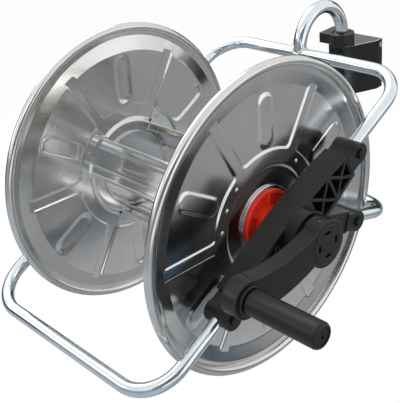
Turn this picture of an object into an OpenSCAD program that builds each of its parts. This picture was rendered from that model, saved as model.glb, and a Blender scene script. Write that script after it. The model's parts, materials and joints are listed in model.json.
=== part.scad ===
// Wall mounted hose reel: a steel drum in a tube frame that swivels on a wall bracket.
// Millimetres. The origin is the centre of the wall plate on the wall.
// +X runs along the drum's axis to the crank, +Y into the wall, +Z up.

/* [Wall bracket] */
// Width of the housing against the wall
housing_w = 75; // [70:1:90]
// Height of the housing
housing_h = 74; // [72:1:90]
// Sheet thickness of the wall plate and the housing
sheet_t = 1.6; // [1.2:0.1:2]
// Straight part of the housing's sides next to the wall
flange_len = 14; // [12:1:18]
// Width of the housing's flat nose
nose_w = 27; // [24:1:32]
// Gap between the wall plate and the housing around it
plate_fit = 0.2; // [0.1:0.05:0.4]
// Spacing of the wall screw holes across the plate
hole_span_x = 44; // [30:1:46]
// Spacing of the wall screw holes up the plate
hole_span_z = 50; // [36:1:52]
// Diameter of the wall screw holes
hole_d = 6.5; // [5:0.5:9]
// Shank diameter of the side screws
side_screw_d = 4; // [3:0.5:5]
// Distance of the side screws below the housing's top edge
side_screw_drop = 7; // [6:1:20]

/* [Swivel] */
// Distance from the wall to the swivel axis
swivel_to_wall = 47; // [45:1:60]
// Outside diameter of the hook tube
hook_d = 18; // [16:1:20]
// Wall of the hook tube
hook_wall = 2; // [1.5:0.1:3]
// Bend radius of the hook
hook_r = 47.5; // [42:0.5:60]
// Wall of the swivel bushings around the hook
bush_wall = 2.4; // [2:0.1:4]
// Depth of the swivel bushings inside the housing
bush_depth = 20; // [14:1:28]
// Diameter of the cap on the top bushing
cap_d = 36; // [32:1:42]
// Height of the cap on the top bushing
cap_h = 17; // [12:0.5:20]
// Reach of the cap's tab from the swivel axis
tab_reach = 32; // [26:1:40]
// Width of the cap's tab
tab_w = 34; // [24:1:36]
// Height of the cap's tab
tab_h = 15; // [8:0.5:15]
// Diameter of the collar that carries the hook
collar_d = 25; // [24:0.5:28]
// Height of the collar that carries the hook
collar_h = 5; // [4:0.5:7]
// Reach of the hook under the housing
hook_drop = 7; // [5:1:12]

/* [Frame] */
// Outside diameter of the frame tubes
tube_d = 16; // [14:1:18]
// Wall of the frame tubes
tube_wall = 1.5; // [1:0.1:2.5]
// Bend radius of the frame tubes
bend_r = 49; // [40:1:56]
// Distance from each disc's rim plane to the tube legs
leg_gap = 26; // [25:0.5:34]
// Slope of the upper and front tubes
frame_tilt = 24.2; // [20:0.1:28]
// Slope of the lower tube
lower_tilt = -19.5; // [-24:0.5:-16]
// Distance from the drum's axis to the upper crossbar
upper_reach = 254; // [240:1:280]
// Distance from the drum's axis to the front crossbar
front_reach = 245; // [235:1:280]
// Distance from the drum's axis to the lower crossbar
lower_reach = 217; // [212:1:250]
// Sideways place of the drum's middle, seen from the swivel
drum_shift = 13; // [0:1:20]

/* [Side brackets] */
// Length of the bracket's bar between its sockets
bar_len = 212; // [190:1:220]
// Height of the bar at its middle
bar_mid_h = 54; // [48:1:60]
// Height of the bar at its ends
bar_end_h = 35; // [30:1:40]
// Depth of the bar along the drum's axis
bar_t = 32; // [30:1:36]
// Depth of the pockets between the bar's ribs
pocket_depth = 14; // [6:1:20]
// Thickness of the bar's ribs
rib_t = 4; // [3:0.5:5]
// Height of the tube sockets
socket_d = 26; // [22:1:30]
// Distance from the drum's axis to the bolts of the sockets
socket_reach = 124; // [120:1:130]
// Diameter of the clamp bolts
bolt_d = 6; // [5:0.5:8]
// Diameter of the bearing boss
boss_d = 60; // [54:1:66]
// Reach of the bearing boss past the bar
boss_reach = 15; // [12:1:20]
// Distance from the drum's axis to the bolt of the lower socket
low_socket_reach = 114; // [108:1:124]
// Width of the arm that carries the lower socket
low_arm_w = 28; // [22:1:30]

/* [Drum] */
// Diameter of the discs
disc_d = 380; // [370:1:390]
// Distance between the rim planes of the two discs
drum_w = 256; // [240:1:280]
// Sheet thickness of the discs and spacers
disc_t = 1.5; // [1:0.1:2]
// Diameter of the rolled bead on the rim
bead_d = 11; // [9:0.5:12]
// Depth of a disc's middle behind its rim plane
dish = 8.5; // [7:0.5:11]
// Depth of a disc's flat ring and spokes behind its rim plane
web_depth = 4.5; // [3.5:0.5:5.5]
// Radius of the step around a disc's middle
step_r = 66; // [64:1:68]
// Outer radius of the recessed panels
panel_r = 157; // [152:1:158]
// Inner radius of the recessed panels
panel_inner_r = 86; // [84:1:92]
// Depth of the recessed panels
panel_depth = 1.5; // [1:0.1:2]
// Width of the cone between the panels and the rim
cone_w = 13; // [10:0.5:13]
// Width of the spokes between the panels
spoke_w = 14; // [10:1:18]
// Width of the oblong dimples that stand up in the panels
dimple_w = 21; // [16:1:24]
// Angle of the first dimple above the wall direction
dimple_angle = 26; // [0:1:59]
// Distance from the axis to the spacers' webs
spacer_reach = 55; // [53:0.5:56]
// Width of the spacers' flat webs
spacer_web_w = 27; // [22:1:32]
// Width of the spacers over their flared edges
spacer_w = 48; // [42:1:56]
// Height of the spacers' flared edges over the webs
spacer_flare = 4; // [2:0.5:6]
// Shank diameter of the rivets
rivet_d = 3; // [2.5:0.5:4]

/* [Hubs and shafts] */
// Diameter of the hub in the disc's hole
hub_d = 76; // [70:1:80]
// Diameter of the hub's flange behind the disc
hub_flange_d = 100; // [94:1:102]
// Outside diameter of the clamping ring
hub_ring_d = 84; // [82:1:90]
// Diameter of the crank shaft
shaft_d = 20; // [16:1:22]
// Outside diameter of the inlet spindle
spindle_d = 24; // [22:1:25]
// Bore of the inlet spindle
water_d = 14; // [10:1:15]
// Outside diameter of the bearing bushes
bearing_d = 32; // [30:1:36]
// Angle of the hose outlet in the drum
outlet_angle = 326; // [318:1:334]
// Distance from the drum's middle to the hose outlet
outlet_x = 60; // [40:1:70]
// Reach of the hose outlet from the axis
outlet_reach = 81; // [76:1:90]

/* [Crank] */
// Distance from the drum's axis to the grip's axis
crank_r = 125; // [115:1:135]
// Thickness of the crank arm
arm_t = 20; // [16:1:24]
// Width of the crank arm at its middle
arm_w = 40; // [34:1:42]
// Depth of the arm's middle below the line from its hub to the grip
arm_sag = 6; // [3:0.5:8]
// Radius of the arm's curved edges
arm_curve_r = 205; // [190:1:260]
// Diameter of the crank's hub
crank_hub_d = 56; // [50:1:60]
// Diameter of the crank arm's end
crank_end_d = 43; // [42:1:50]
// Diameter of the grip
grip_d = 28; // [24:1:32]
// Length of the grip
grip_len = 87; // [80:1:110]
// Diameter of the grip's spindle
pin_d = 10; // [8:1:12]

/* [Hidden] */
$fn = 64;
// Radial clearance of a shaft that turns in its bore
run_fit = 0.08;
// Radial clearance of a piece that is pushed in and stays
push_fit = 0.05;
// Gap between faces that pass each other
face_gap = 0.4;
// Gap between a resting face and its seat
rest_gap = 0.1;
// Small overlap that keeps cuts clean
eps = 0.1;

// Wall housing and swivel
half_w = housing_w / 2;
half_h = housing_h / 2;
plug_d = hook_d + 2 * run_fit + 2 * bush_wall;
nose_gap = 0.6;
nose_y = plug_d / 2 + nose_gap + sheet_t;
plate_half_w = half_w - sheet_t - plate_fit;
plate_half_h = half_h - sheet_t - plate_fit;
plate_tab_len = flange_len - 1;
side_screw_y = -flange_len / 2;
side_screw_z = half_h - side_screw_drop;
side_head_d = 1.8 * side_screw_d;
side_head_h = 0.6 * side_screw_d;
bottom_flange_rim = 4;
bottom_flange_d = plug_d + 2 * bottom_flange_rim;
bottom_flange_t = 3;
collar_gap = 1;
hook_lift = 1;
hook_stub = 2;
hook_z = half_h + cap_h + hook_lift;
rod_end_z = -half_h - bottom_flange_t - hook_drop;
end_cap_t = 3;
end_cap_plug = 12;
weld_drop = 3;
bar_height = hook_z - weld_drop;

// Places of the drum and the frame
axis_y = -swivel_to_wall - 2 * hook_r - upper_reach * cos(frame_tilt);
axis_z = bar_height - upper_reach * sin(frame_tilt);
rim_x = drum_w / 2;
leg_x = rim_x + leg_gap;
bar_x0 = leg_x - bar_t / 2;
bar_x1 = leg_x + bar_t / 2;
boss_x = bar_x1 + boss_reach;

// Side brackets
bar_end = bar_len / 2;
bar_waist = 0.55 * bar_end;
bar_waist_h = 0.88 * bar_mid_h;
bar_edge = 3;
cell_len = 34;
socket_depth = socket_reach - bar_end;
socket_root = 4;
socket_neck = 2;

// Sockets and their bolts, seen from the middle of a tube leg
socket_bore_r = tube_d / 2 + 2 * push_fit;
socket_face = bar_t / 2 + 1;
face_step = 1;
bolt_head_d = 2 * bolt_d;
bolt_head_h = 0.6 * bolt_d;
nut_d = 1.8 * bolt_d;
nut_h = 0.8 * bolt_d;

// Discs and spacers, seen from the drum's middle
disc_r = disc_d / 2;
bead_r = disc_r - bead_d / 2;
bead_inner_r = disc_r - bead_d;
band_depth = 1.5;
step_in_r = step_r - 2;
step_out_r = step_r + 1;
band_foot_r = panel_r + 2 * disc_t;
band_r = band_foot_r + cone_w;
bead_foot_r = bead_inner_r - 3;
dimple_margin = 5;
plate_out = rim_x - dish;
plate_in = plate_out - disc_t;
web_out = rim_x - web_depth;
web_in = web_out - disc_t;
panel_count = 6;
spacer_count = 3;
rivet_r = (step_r + panel_inner_r) / 2;
rivet_step = 19;
tab_margin_angle = 6;
rivet_head_d = 1.8 * rivet_d;
rivet_head_h = 0.45 * rivet_d;
foot_r = spacer_reach - 2 * disc_t;
tab_inner_r = step_r + 2;
tab_outer_r = panel_inner_r - 2 * disc_t;

// Hubs, bearings and shafts
hub_flange_t = 4;
hub_proud = 7;
hub_face = plate_out + hub_proud;
hub_ring_t = 3;
hub_lip = 4;
hub_dish_d = hub_d - 2 * hub_lip;
hub_dish_depth = 4;
bearing_flange_t = 2;
bearing_flange_d = bearing_d + 12;
hub_neck_d = bearing_flange_d - 4;
hub_neck_x = bar_x0 - bearing_flange_t - face_gap;
hub_tail = 10;
hub_back = plate_in - hub_flange_t - hub_tail;
hub_back_d = 44;
hub_rib_t = 4;
washer_t = 3;
arm_x0 = boss_x + washer_t + 2 * face_gap;
arm_x1 = arm_x0 + arm_t;
crank_cover = 5;
crank_face_d = 46;
crank_face_t = 1;
shaft_end = arm_x1 - crank_cover - face_gap;
cross_pin_d = 5;
boss_lip_t = 3;
boss_lip_d = grip_d + 5;
grip_x0 = arm_x1 + boss_lip_t + face_gap;
grip_x1 = grip_x0 + grip_len;
pin_head_t = 2.5;
pin_head_d = pin_d + 8;
pin_end_gap = 12;
pin_end = grip_x1 - pin_end_gap;
clip_t = 1.5;
clip_x = pin_end - 2 * clip_t;
clip_d = pin_d + 5;
clip_root_d = pin_d - 2;
clip_mouth = pin_d - 3;
grip_edge = 1.5;
grip_round = 4;
grip_hollow_d = 20;
cap_plug_t = 3;
cap_recess = 1;
cap_hole_d = 4;
waist_at = 0.57 * crank_r;
belly_at = 0.66 * crank_r;

// Water way
elbow_flange_t = 4;
elbow_wall = 9;
elbow_d = spindle_d + 2 * elbow_wall;
elbow_len = 32;
spindle_reach = 17;
spindle_end = boss_x + spindle_reach;
spindle_gap = 1;
seal_d = 2.4;
seal_first = 5;
seal_pitch = 6;
seal_slack = 0.2;
seal_proud = 0.02;
groove_w = seal_d + 2 * seal_slack;
port_x = spindle_end + spindle_gap + water_d / 2;
port_wall = 6;
port_d = water_d + 2 * port_wall;
port_drop = 44;
thread_wall = 3;
thread_d = water_d + 2 * thread_wall;
thread_len = 12;
plug_wall = 3;
nose_r = water_d / 2 + 1;
plug_bore = 2 * (nose_r - plug_wall);
plug_flange_t = 6;
plug_groove_at = 14;
plug_groove_len = 6;
plug_groove_depth = 1.5;
plug_chamfer = 2;
plug_len = 28;
elbow_screw_d = 4;
elbow_screw_len = 10;
elbow_head_d = 1.6 * elbow_screw_d;
elbow_head_h = 0.6 * elbow_screw_d;
elbow_screw_r = (elbow_d + boss_d) / 4;
outlet_d = water_d;
outlet_bore = outlet_d - 5;
outlet_wall = 4;
outlet_body_d = spindle_d + 2 * outlet_wall;
outlet_half = 16;
stalk_wall = 3;
stalk_len = 14;
stalk_x = outlet_x - outlet_wall;
socket_len = 12;
barb_count = 4;
barb_step = 1;

// Point where two straight lines meet, each given by a point and a direction
function meet(p, u, q, v) =
    let (k = ((q[0] - p[0]) * v[1] - (q[1] - p[1]) * v[0]) / (u[0] * v[1] - u[1] * v[0]))
    [p[0] + k * u[0], p[1] + k * u[1]];

// Point on the line from p to q, moved to the line's left
function left_of(p, q, d) = p + d * [p[1] - q[1], q[0] - p[0]] / norm(q - p);

// Polygon with all its edges moved inwards, for points that run anticlockwise
function inset(points, d) =
    let (n = len(points))
    [for (i = [0:n - 1])
        let (a = points[(i + n - 1) % n], b = points[i], c = points[(i + 1) % n])
        meet(left_of(a, b, d), b - a, left_of(b, c, d), c - b)];

// Plan of the housing
housing_points = [
    [half_w, 0], [-half_w, 0], [-half_w, -flange_len], [-nose_w / 2, -swivel_to_wall - nose_y],
    [nose_w / 2, -swivel_to_wall - nose_y], [half_w, -flange_len]
];

// Extrudes a plan of the Y-Z plane along X
module along_x(x0, x1) {
    translate([x0, 0, 0])
        rotate([90, 0, 90])
            linear_extrude(height = x1 - x0)
                children();
}

// Round bar along X
module bar_x(x0, x1, d) {
    along_x(x0, x1)
        circle(d = d);
}

// Moves to the drum's axis and the drum's middle
module at_drum() {
    translate([drum_shift, axis_y, axis_z])
        children();
}

// Turns a piece over to the inlet's side of the drum
module inlet_side() {
    mirror([1, 0, 0])
        children();
}

// Places a piece on both sides of the drum
module both_sides() {
    children();
    inlet_side()
        children();
}

// Turns the Y-Z plane about the drum's axis
module turned(angle) {
    rotate([angle, 0, 0])
        children();
}

// Cross section of a tube
module tube_ring(d, wall) {
    difference() {
        circle(d = d);
        circle(d = d - 2 * wall);
    }
}

// Sheet steel plate that is screwed to the wall, with a tab on each side
module wall_plate() {
    color("dimgray")
        difference() {
            translate([-plate_half_w, -plate_tab_len, -plate_half_h])
                cube([2 * plate_half_w, plate_tab_len, 2 * plate_half_h]);
            translate([-plate_half_w + sheet_t, -flange_len, -half_h])
                cube([2 * plate_half_w - 2 * sheet_t, flange_len - sheet_t, housing_h]);
            for (x = [-1, 1], z = [-1, 1])
                translate([x * hole_span_x / 2, eps, z * hole_span_z / 2])
                    rotate([90, 0, 0])
                        cylinder(d = hole_d, h = sheet_t + 2 * eps);
            translate([0, side_screw_y, side_screw_z])
                bar_x(-half_w, half_w, side_screw_d + 2 * push_fit);
        }
}

// Folded housing that carries the swivel, open towards the wall
module swivel_housing() {
    inner = inset(housing_points, sheet_t);
    color("black")
        difference() {
            translate([0, 0, -half_h])
                linear_extrude(height = housing_h)
                    polygon(housing_points);
            translate([0, 0, -half_h + sheet_t])
                linear_extrude(height = housing_h - 2 * sheet_t)
                    polygon(concat(
                        [[inner[0][0], eps], [inner[1][0], eps]],
                        [for (i = [2:5]) inner[i]]
                    ));
            translate([0, -swivel_to_wall, -half_h - eps])
                cylinder(d = plug_d + 2 * push_fit, h = housing_h + 2 * eps);
            translate([0, side_screw_y, side_screw_z])
                bar_x(-half_w - eps, half_w + eps, side_screw_d + 2 * push_fit);
        }
}

// Two screws that hold the housing to the wall plate
module housing_screws() {
    color("silver")
        both_sides()
            translate([0, side_screw_y, side_screw_z]) {
                bar_x(plate_half_w - sheet_t - 2, half_w, side_screw_d);
                bar_x(half_w, half_w + side_head_h, side_head_d);
            }
}

// Plastic cap and bushing at the top of the swivel, with a tab on one side
module top_bushing() {
    color("black")
        translate([0, -swivel_to_wall, half_h])
            difference() {
                union() {
                    translate([0, 0, -bush_depth])
                        cylinder(d = plug_d, h = bush_depth);
                    cylinder(d = cap_d, h = cap_h);
                    translate([-tab_reach, -plug_d / 2, 0])
                        cube([tab_reach, tab_w, tab_h]);
                }
                translate([0, 0, -bush_depth - eps])
                    cylinder(d = hook_d + 2 * run_fit, h = bush_depth + cap_h + 2 * eps);
                translate([0, 0, cap_h - collar_h - collar_gap])
                    cylinder(d = collar_d + 2 * collar_gap, h = collar_h + collar_gap + eps);
            }
}

// Plastic bushing at the bottom of the swivel
module bottom_bushing() {
    color("black")
        translate([0, -swivel_to_wall, -half_h])
            difference() {
                union() {
                    cylinder(d = plug_d, h = bush_depth);
                    translate([0, 0, -bottom_flange_t])
                        cylinder(d = bottom_flange_d, h = bottom_flange_t);
                }
                translate([0, 0, -bottom_flange_t - eps])
                    cylinder(d = hook_d + 2 * run_fit, h = bottom_flange_t + bush_depth + 2 * eps);
            }
}

// Bent tube that hangs the frame in the swivel, cut to fit over the upper crossbar
module swivel_hook() {
    color("silver")
        difference() {
            translate([0, -swivel_to_wall - hook_r, hook_z]) {
                rotate([90, 0, 90])
                    rotate_extrude(angle = 180)
                        translate([hook_r, 0])
                            tube_ring(hook_d, hook_wall);
                translate([0, hook_r, rod_end_z - hook_z])
                    linear_extrude(height = hook_z - rod_end_z)
                        tube_ring(hook_d, hook_wall);
                translate([0, -hook_r, -hook_stub])
                    linear_extrude(height = hook_stub)
                        tube_ring(hook_d, hook_wall);
            }
            translate([0, -swivel_to_wall - 2 * hook_r, bar_height])
                bar_x(-hook_d, hook_d, tube_d + 2 * push_fit);
        }
}

// Collar on the hook, which rests in the cap of the top bushing
module hook_collar() {
    color("dimgray")
        translate([0, -swivel_to_wall, half_h + cap_h - collar_h - collar_gap + rest_gap])
            difference() {
                cylinder(d = collar_d, h = collar_h);
                translate([0, 0, -eps])
                    cylinder(d = hook_d + 2 * push_fit, h = collar_h + 2 * eps);
            }
}

// Plug in the open lower end of the hook
module hook_end_cap() {
    color("black")
        translate([0, -swivel_to_wall, rod_end_z])
            union() {
                translate([0, 0, -end_cap_t])
                    cylinder(d = hook_d, h = end_cap_t);
                cylinder(d = hook_d - 2 * hook_wall - 2 * push_fit, h = end_cap_plug);
            }
}

// Half of a bent frame tube, in the plane of X and its own reach
module half_u(reach, start) {
    translate([leg_x, start, 0])
        rotate([-90, 0, 0])
            linear_extrude(height = reach - bend_r - start)
                tube_ring(tube_d, tube_wall);
    translate([leg_x - bend_r, reach - bend_r, 0])
        rotate_extrude(angle = 90)
            translate([bend_r, 0])
                tube_ring(tube_d, tube_wall);
}

// Frame tube with a cross hole for its bolt in each leg, from the floor of its sockets
module u_tube(angle, reach, hole_at) {
    start = hole_at - socket_depth + face_gap;
    color("silver")
        at_drum()
            turned(angle)
                difference() {
                    union() {
                        both_sides()
                            half_u(reach, start);
                        translate([-leg_x + bend_r, reach, 0])
                            rotate([0, 90, 0])
                                linear_extrude(height = 2 * (leg_x - bend_r))
                                    tube_ring(tube_d, tube_wall);
                    }
                    both_sides()
                        translate([leg_x, hole_at, 0])
                            bar_x(-tube_d, tube_d, bolt_d + 2 * push_fit);
                }
}

// Upper tube, which the hook is welded to
module upper_frame_tube() {
    u_tube(frame_tilt, upper_reach, socket_reach);
}

// Front tube
module front_frame_tube() {
    u_tube(frame_tilt + 180, front_reach, socket_reach);
}

// Lower tube on the wall side
module lower_frame_tube() {
    u_tube(lower_tilt, lower_reach, low_socket_reach);
}

// Height of the bar at a distance from its middle
function bar_h(y) = y < bar_waist ?
    bar_mid_h + (bar_waist_h - bar_mid_h) * y / bar_waist :
    bar_waist_h + (bar_end_h - bar_waist_h) * (y - bar_waist) / (bar_end - bar_waist);

// Outline of the bracket's bar
module bar_outline() {
    places = [-bar_end, -bar_waist, 0, bar_waist, bar_end];
    polygon(concat(
        [for (y = places) [y, -bar_h(abs(y)) / 2]],
        [for (y = places) [-y, bar_h(abs(y)) / 2]]
    ));
}

// Four pockets between crossed ribs, in one cell of the bar
module cross_pockets(y0, y1) {
    mid = [(y0 + y1) / 2, 0];
    h0 = bar_h(y0) / 2 - bar_edge;
    h1 = bar_h(y1) / 2 - bar_edge;
    corners = [[y0, -h0], [y1, -h1], [y1, h1], [y0, h0]];
    for (i = [0:3])
        polygon(inset([corners[i], corners[(i + 1) % 4], mid], rib_t / 2));
}

// One socket: a round-ended block that holds the end of a tube
module tube_socket(reach) {
    root = reach - socket_depth - socket_root;
    translate([leg_x, 0, 0]) {
        translate([0, reach, 0])
            bar_x(-socket_face, socket_face, socket_d);
        translate([-socket_face, root, -socket_d / 2 + socket_neck])
            cube([2 * socket_face, reach - root, socket_d - 2 * socket_neck]);
    }
}

// Bores of the sockets
module socket_bores() {
    bracket_sockets()
        translate([0, -socket_depth, 0])
            rotate([-90, 0, 0])
                cylinder(r = socket_bore_r, h = socket_depth + socket_d);
}

// Places a piece at each socket of a side bracket
module bracket_sockets() {
    for (turn = [0, 180])
        turned(frame_tilt + turn)
            translate([leg_x, socket_reach, 0])
                children();
    turned(lower_tilt)
        translate([leg_x, low_socket_reach, 0])
            children();
}

// Bar of a side bracket, with its pockets and sockets
module ribbed_bar() {
    cell_out = bar_end - socket_root;
    cell_mid = cell_out - cell_len;
    cell_in = boss_d / 2 + rib_t / 4;
    difference() {
        along_x(bar_x0, bar_x1)
            bar_outline();
        along_x(bar_x1 - pocket_depth, bar_x1 + eps)
            for (turn = [0, 180])
                rotate(turn) {
                    cross_pockets(cell_in, cell_mid);
                    cross_pockets(cell_mid, cell_out);
                }
    }
    for (turn = [0, 180])
        turned(turn)
            tube_socket(socket_reach);
}

// Arm with the socket of the lower tube
module low_arm() {
    translate([bar_x0 + face_step, 0, -low_arm_w / 2])
        cube([bar_t - 2 * face_step, low_socket_reach - socket_depth, low_arm_w]);
    tube_socket(low_socket_reach);
}

// Places a piece at each screw of the elbow's flange
module each_elbow_screw() {
    for (i = [0:2])
        turned(90 + i * 120)
            translate([boss_x, elbow_screw_r, 0])
                children();
}

// Side bracket: ribbed bar, bearing boss and three sockets
module side_bracket() {
    color("black")
        difference() {
            union() {
                turned(frame_tilt)
                    ribbed_bar();
                turned(lower_tilt)
                    low_arm();
                bar_x(bar_x1 - face_step, boss_x, boss_d);
            }
            socket_bores();
            bar_x(bar_x0 - eps, boss_x + eps, bearing_d + 2 * push_fit);
            bracket_sockets()
                bar_x(-bar_t, bar_t, bolt_d + 2 * push_fit);
            each_elbow_screw()
                bar_x(-elbow_screw_len - 2, eps, elbow_screw_d + 2 * push_fit);
        }
}

module crank_side_bracket() {
    at_drum()
        side_bracket();
}

module inlet_side_bracket() {
    at_drum()
        inlet_side()
            side_bracket();
}

// Places a piece at each socket, on both sides of the drum
module each_socket() {
    at_drum()
        both_sides()
            bracket_sockets()
                children();
}

// Bolts through the sockets and the tubes in them
module clamp_bolts() {
    color("dimgray")
        each_socket() {
            bar_x(-socket_face - nut_h, socket_face, bolt_d);
            bar_x(socket_face, socket_face + bolt_head_h, bolt_head_d);
        }
}

// Hexagon nuts on the clamp bolts
module clamp_nuts() {
    color("dimgray")
        each_socket()
            along_x(-socket_face - nut_h, -socket_face)
                difference() {
                    circle(d = nut_d, $fn = 6);
                    circle(d = bolt_d + 2 * push_fit);
                }
}

// Flanged bearing bush in a side bracket
module bearing(bore) {
    color("dimgray")
        difference() {
            union() {
                bar_x(bar_x0, boss_x, bearing_d);
                bar_x(bar_x0 - bearing_flange_t, bar_x0, bearing_flange_d);
            }
            bar_x(bar_x0 - bearing_flange_t - eps, boss_x + eps, bore);
        }
}

module crank_bush() {
    at_drum()
        bearing(shaft_d + 2 * run_fit);
}

module inlet_bush() {
    at_drum()
        inlet_side()
            bearing(spindle_d + 2 * run_fit);
}

// Fixed elbow that feeds water into the turning spindle
module inlet_elbow() {
    color("black")
        at_drum()
            inlet_side()
                difference() {
                    union() {
                        bar_x(boss_x, boss_x + elbow_len, elbow_d);
                        bar_x(boss_x, boss_x + elbow_flange_t, boss_d);
                        translate([port_x, 0, -port_drop])
                            cylinder(d = port_d, h = port_drop);
                    }
                    bar_x(boss_x - eps, spindle_end + spindle_gap, spindle_d + 2 * run_fit);
                    bar_x(spindle_end, port_x + water_d / 2, water_d);
                    translate([port_x, 0, -port_drop - eps])
                        cylinder(d = water_d, h = port_drop + eps);
                    translate([port_x, 0, -port_drop - eps])
                        cylinder(d = thread_d + 2 * push_fit, h = thread_len + eps);
                    each_elbow_screw()
                        bar_x(-eps, elbow_flange_t + eps, elbow_screw_d + 2 * push_fit);
                }
}

// Screws of the elbow's flange
module elbow_screws() {
    color("dimgray")
        at_drum()
            inlet_side()
                each_elbow_screw() {
                    bar_x(-elbow_screw_len, elbow_flange_t, elbow_screw_d);
                    bar_x(elbow_flange_t, elbow_flange_t + elbow_head_h, elbow_head_d);
                }
}

// Quick connector plug in the elbow's port
module inlet_plug() {
    groove_r = nose_r - plug_groove_depth;
    groove_end = plug_groove_at + plug_groove_len;
    color("silver")
        at_drum()
            inlet_side()
                translate([port_x, 0, -port_drop])
                    rotate([180, 0, 0])
                        rotate_extrude()
                            polygon([
                                [plug_bore / 2, -thread_len + rest_gap],
                                [thread_d / 2, -thread_len + rest_gap], [thread_d / 2, 0],
                                [port_d / 2, 0], [port_d / 2, plug_flange_t],
                                [nose_r, plug_flange_t], [nose_r, plug_groove_at],
                                [groove_r, plug_groove_at + plug_groove_depth / 2],
                                [groove_r, groove_end - plug_groove_depth / 2], [nose_r, groove_end],
                                [nose_r, plug_len - plug_chamfer],
                                [nose_r - plug_chamfer / 2, plug_len], [plug_bore / 2, plug_len]
                            ]);
}

// Section of a disc's sheet, from the hub's hole to the rolled bead
module disc_section() {
    face = [
        [hub_d / 2 + push_fit, -dish], [step_in_r, -dish], [step_out_r, -web_depth],
        [band_foot_r, -web_depth], [band_r, -band_depth], [bead_foot_r, -band_depth],
        [bead_r, disc_t / 2]
    ];
    back = [for (i = [len(face) - 1:-1:0]) face[i] - [0, disc_t]];
    polygon(concat(face, back));
    translate([bead_r, 0])
        difference() {
            circle(d = bead_d);
            circle(d = bead_d - 2 * disc_t);
            translate([-bead_d, -bead_d / 2])
                square([bead_d, bead_d / 2 - disc_t]);
        }
}

// Outline of an oblong dimple along its radius
module dimple_outline(grow) {
    from = panel_inner_r + dimple_margin + dimple_w / 2;
    to = panel_r - dimple_margin - dimple_w / 2;
    translate([from, -dimple_w / 2 - grow])
        square([to - from, dimple_w + 2 * grow]);
    for (r = [from, to])
        translate([r, 0])
            circle(d = dimple_w + 2 * grow);
}

// Outline of a panel between two spokes, around its dimple
module panel_outline(shrink) {
    half_angle = 180 / panel_count;
    apex = (spoke_w / 2 + shrink) / sin(half_angle);
    difference() {
        intersection() {
            circle(r = panel_r - shrink);
            polygon([
                [apex, 0], [apex + disc_r, -disc_r * tan(half_angle)],
                [apex + disc_r, disc_r * tan(half_angle)]
            ]);
        }
        circle(r = panel_inner_r + shrink);
        dimple_outline(shrink);
    }
}

// All panels of a disc, as hollows or as the pads behind them
module panels(x0, x1, shrink) {
    for (i = [0:panel_count - 1])
        turned(dimple_angle + i * 360 / panel_count)
            along_x(x0, x1)
                panel_outline(shrink);
}

// Places a piece at each rivet of one spacer
module spacer_rivet_places() {
    for (k = [-1, 0, 1])
        turned(k * rivet_step)
            translate([0, rivet_r, 0])
                children();
}

// Places a piece at each rivet of a disc
module each_rivet() {
    for (i = [0:spacer_count - 1])
        turned(dimple_angle + i * 360 / spacer_count)
            spacer_rivet_places()
                children();
}

// Pressed steel disc with recessed panels
module reel_disc() {
    color("gainsboro")
        difference() {
            union() {
                translate([rim_x, 0, 0])
                    rotate([0, 90, 0])
                        rotate_extrude()
                            disc_section();
                panels(web_in - panel_depth, web_in + disc_t / 2, -disc_t);
            }
            panels(web_out - panel_depth, web_out + eps, 0);
            each_rivet()
                bar_x(web_in - eps, web_out + eps, rivet_d + 2 * push_fit);
        }
}

module crank_disc() {
    at_drum()
        reel_disc();
}

module inlet_disc() {
    at_drum()
        inlet_side()
            reel_disc();
}

// Section of a spacer: a flat web with two flared edges
module spacer_section() {
    web = spacer_web_w / 2;
    edge = spacer_w / 2;
    top = spacer_reach + spacer_flare;
    polygon([
        [top, -edge], [spacer_reach, -web], [spacer_reach, web], [top, edge],
        [top - disc_t, edge], [spacer_reach - disc_t, web],
        [spacer_reach - disc_t, -web], [top - disc_t, -edge]
    ]);
}

// End of a spacer: a foot in the disc's dish, a step and a curved tab
module spacer_end() {
    reach = 2 * tab_outer_r;
    half_angle = rivet_step + tab_margin_angle;
    intersection() {
        rotate([0, 90, 0])
            rotate_extrude()
                polygon([
                    [foot_r, plate_in - disc_t], [tab_inner_r + disc_t, plate_in - disc_t],
                    [tab_inner_r + disc_t, web_in - disc_t], [tab_outer_r, web_in - disc_t],
                    [tab_outer_r, web_in], [tab_inner_r, web_in],
                    [tab_inner_r, plate_in], [foot_r, plate_in]
                ]);
        along_x(0, rim_x)
            polygon([[0, 0], [reach, -reach * tan(half_angle)], [reach, reach * tan(half_angle)]]);
    }
}

// Folded steel strip between the discs, with a curved tab at each end
module spacer(index) {
    color("gainsboro")
        at_drum()
            turned(dimple_angle + index * 360 / spacer_count)
                difference() {
                    union() {
                        along_x(disc_t / 2 - plate_in, plate_in - disc_t / 2)
                            spacer_section();
                        both_sides()
                            spacer_end();
                    }
                    spacer_rivet_places()
                        bar_x(-web_in - eps, web_in + eps, rivet_d + 2 * push_fit);
                }
}

module spacer_1() {
    spacer(0);
}

module spacer_2() {
    spacer(1);
}

module spacer_3() {
    spacer(2);
}

// Rivets that hold the spacers' tabs to the discs
module spacer_rivets() {
    shank_len = web_out - web_in + disc_t;
    color("white")
        at_drum()
            both_sides()
                each_rivet()
                    translate([web_in - disc_t, 0, 0])
                        rotate([0, 90, 0])
                            rotate_extrude()
                                polygon([
                                    [0, -rivet_head_h], [rivet_head_d / 2, -rivet_head_h],
                                    [rivet_head_d / 2, 0], [rivet_d / 2, 0], [rivet_d / 2, shank_len],
                                    [rivet_head_d / 2, shank_len],
                                    [0.35 * rivet_head_d, shank_len + 0.7 * rivet_head_h],
                                    [0.18 * rivet_head_d, shank_len + rivet_head_h],
                                    [0, shank_len + rivet_head_h]
                                ]);
}

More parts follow.
